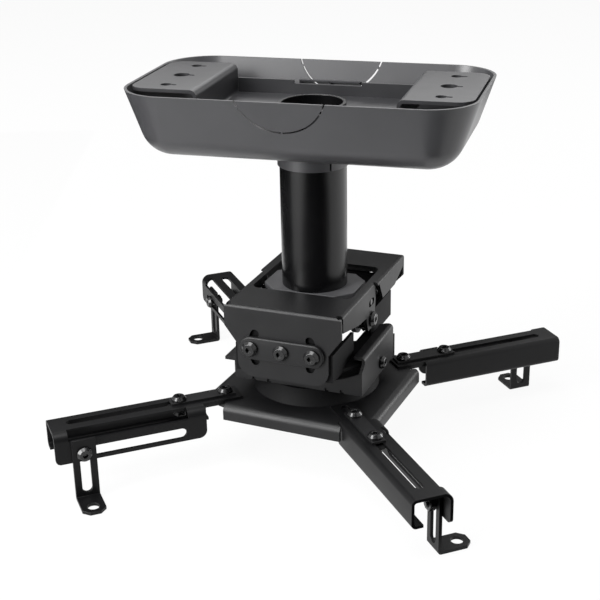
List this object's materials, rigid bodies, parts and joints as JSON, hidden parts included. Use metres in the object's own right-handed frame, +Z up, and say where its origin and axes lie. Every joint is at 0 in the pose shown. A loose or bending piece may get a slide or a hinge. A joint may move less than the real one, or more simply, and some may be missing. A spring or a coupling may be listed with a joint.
{
  "type": "projector ceiling mount",
  "caption": "Black steel ceiling mount for a projector: moulded cover, short pole, tilting and rolling head, and a swivelling hub with sliding arms and height-adjustable feet.",
  "frame": {"origin": "on the axis of the pole, at the ceiling (top of the plate's flanges)", "axes": "+Z up to the ceiling, +X along the cover's long side to the right, +Y to the back"},
  "size_m": [0.3582, 0.3759, 0.292],
  "materials": {
    "black_steel": "satin black powder coat",
    "black_fasteners": "black oxide",
    "black_plastic": "fine matt moulded"
  },
  "bodies": {
    "ceiling_mount": {"ceiling_plate": "black_steel", "pole": "black_steel", "pole_block": "black_steel", "tilt_bolts": "black_fasteners", "tilt_nuts": "black_fasteners", "tilt_washers": "black_fasteners", "tilt_pins": "black_fasteners"},
    "cover": {"ceiling_cover": "black_plastic"},
    "tilt_head": {"upper_frame": "black_steel"},
    "roll_yoke": {"yoke": "black_steel", "capsule_plates": "black_steel", "roll_bolts": "black_fasteners", "roll_nuts": "black_fasteners", "lower_bracket": "black_steel", "side_bolts": "black_fasteners", "side_nuts": "black_fasteners", "swivel_bolt": "black_fasteners", "swivel_nut": "black_fasteners"},
    "hub": {"hub_plate": "black_steel", "swivel_disc": "black_steel", "clamp_strips": "black_steel", "arm_bolts": "black_fasteners", "arm_nuts": "black_fasteners"},
    "arm_front_left": {"arm_front_left": "black_steel"},
    "slider_front_left": {"foot_screw_front_left": "black_fasteners", "foot_nut_front_left": "black_fasteners"},
    "foot_front_left": {"foot_front_left": "black_steel"},
    "arm_front_right": {"arm_front_right": "black_steel"},
    "slider_front_right": {"foot_screw_front_right": "black_fasteners", "foot_nut_front_right": "black_fasteners"},
    "foot_front_right": {"foot_front_right": "black_steel"},
    "arm_rear_right": {"arm_rear_right": "black_steel"},
    "slider_rear_right": {"foot_screw_rear_right": "black_fasteners", "foot_nut_rear_right": "black_fasteners"},
    "foot_rear_right": {"foot_rear_right": "black_steel"},
    "arm_rear_left": {"arm_rear_left": "black_steel"},
    "slider_rear_left": {"foot_screw_rear_left": "black_fasteners", "foot_nut_rear_left": "black_fasteners"},
    "foot_rear_left": {"foot_rear_left": "black_steel"}
  },
  "joints": [
    {"name": "cover_slide", "type": "slide", "parent": "ceiling_mount", "child": "cover", "axis": [0, 0, 1], "range_m": [-0.08, 0]},
    {"name": "tilt", "type": "hinge", "parent": "ceiling_mount", "child": "tilt_head", "pos_m": [0, 0, -0.181], "axis": [0.9945, -0.1045, 0], "range_deg": [-10, 10]},
    {"name": "roll", "type": "hinge", "parent": "tilt_head", "child": "roll_yoke", "pos_m": [0, 0, -0.186], "axis": [0.1045, 0.9945, 0], "range_deg": [-8, 8]},
    {"name": "swivel", "type": "hinge", "parent": "roll_yoke", "child": "hub", "pos_m": [0, 0, -0.2392], "axis": [0, 0, 1], "continuous": true},
    {"name": "arm_front_left_slide", "type": "slide", "parent": "hub", "child": "arm_front_left", "axis": [-0.8007, -0.599, 0], "range_m": [-0.013, 0.0045]},
    {"name": "foot_front_left_travel", "type": "slide", "parent": "arm_front_left", "child": "slider_front_left", "axis": [-0.8007, -0.599, 0], "range_m": [-0.0755, 0.0035]},
    {"name": "foot_front_left_height", "type": "slide", "parent": "slider_front_left", "child": "foot_front_left", "axis": [0, 0, 1], "range_m": [0, 0.025]},
    {"name": "arm_front_right_slide", "type": "slide", "parent": "hub", "child": "arm_front_right", "axis": [0.599, -0.8007, 0], "range_m": [-0.0005, 0.017]},
    {"name": "foot_front_right_travel", "type": "slide", "parent": "arm_front_right", "child": "slider_front_right", "axis": [0.599, -0.8007, 0], "range_m": [-0.0725, 0]},
    {"name": "foot_front_right_height", "type": "slide", "parent": "slider_front_right", "child": "foot_front_right", "axis": [0, 0, 1], "range_m": [0, 0.025]},
    {"name": "arm_rear_right_slide", "type": "slide", "parent": "hub", "child": "arm_rear_right", "axis": [0.8007, 0.599, 0], "range_m": [-0.015, 0.0025]},
    {"name": "foot_rear_right_travel", "type": "slide", "parent": "arm_rear_right", "child": "slider_rear_right", "axis": [0.8007, 0.599, 0], "range_m": [-0.0725, 0]},
    {"name": "foot_rear_right_height", "type": "slide", "parent": "slider_rear_right", "child": "foot_rear_right", "axis": [0, 0, 1], "range_m": [0, 0.025]},
    {"name": "arm_rear_left_slide", "type": "slide", "parent": "hub", "child": "arm_rear_left", "axis": [-0.599, 0.8007, 0], "range_m": [-0.018, 0.0045]},
    {"name": "foot_rear_left_travel", "type": "slide", "parent": "arm_rear_left", "child": "slider_rear_left", "axis": [-0.599, 0.8007, 0], "range_m": [-0.0665, 0.006]},
    {"name": "foot_rear_left_height", "type": "slide", "parent": "slider_rear_left", "child": "foot_rear_left", "axis": [0, 0, 1], "range_m": [0, 0.025]}
  ]
}
